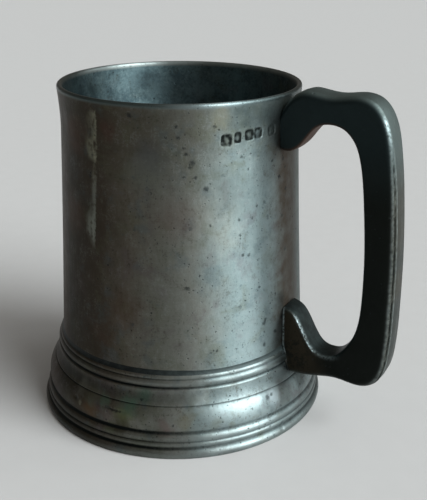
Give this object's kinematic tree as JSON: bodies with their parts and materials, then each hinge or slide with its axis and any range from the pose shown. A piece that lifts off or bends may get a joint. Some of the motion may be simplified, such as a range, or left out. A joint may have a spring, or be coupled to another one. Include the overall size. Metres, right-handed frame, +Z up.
{
  "type": "pewter measure",
  "caption": "Footed pewter drinking measure: tapered drum with an everted lip, flared moulded foot and a hollow angular handle.",
  "frame": {"origin": "centre of the ring that the foot stands on, on the vessel's axis", "axes": "+Z up along the vessel's axis, +X out through the handle"},
  "size_m": [0.1394, 0.1074, 0.1239],
  "materials": {
    "drum_pewter": "worn, pitted pewter with an old patina",
    "foot_pewter": "worn turned pewter, darker in the grooves",
    "floor_pewter": "dull grey pewter",
    "handle_pewter": "dark patinated cast pewter, polished on the grip",
    "dark_solder": "dark tarnished solder"
  },
  "bodies": {
    "root": {"drum": "drum_pewter", "foot": "foot_pewter", "floor_disc": "floor_pewter", "handle": "handle_pewter", "foot_joint_solder": "dark_solder", "floor_joint_solder": "dark_solder", "upper_root_solder": "dark_solder", "lower_root_solder": "dark_solder"}
  },
  "joints": []
}
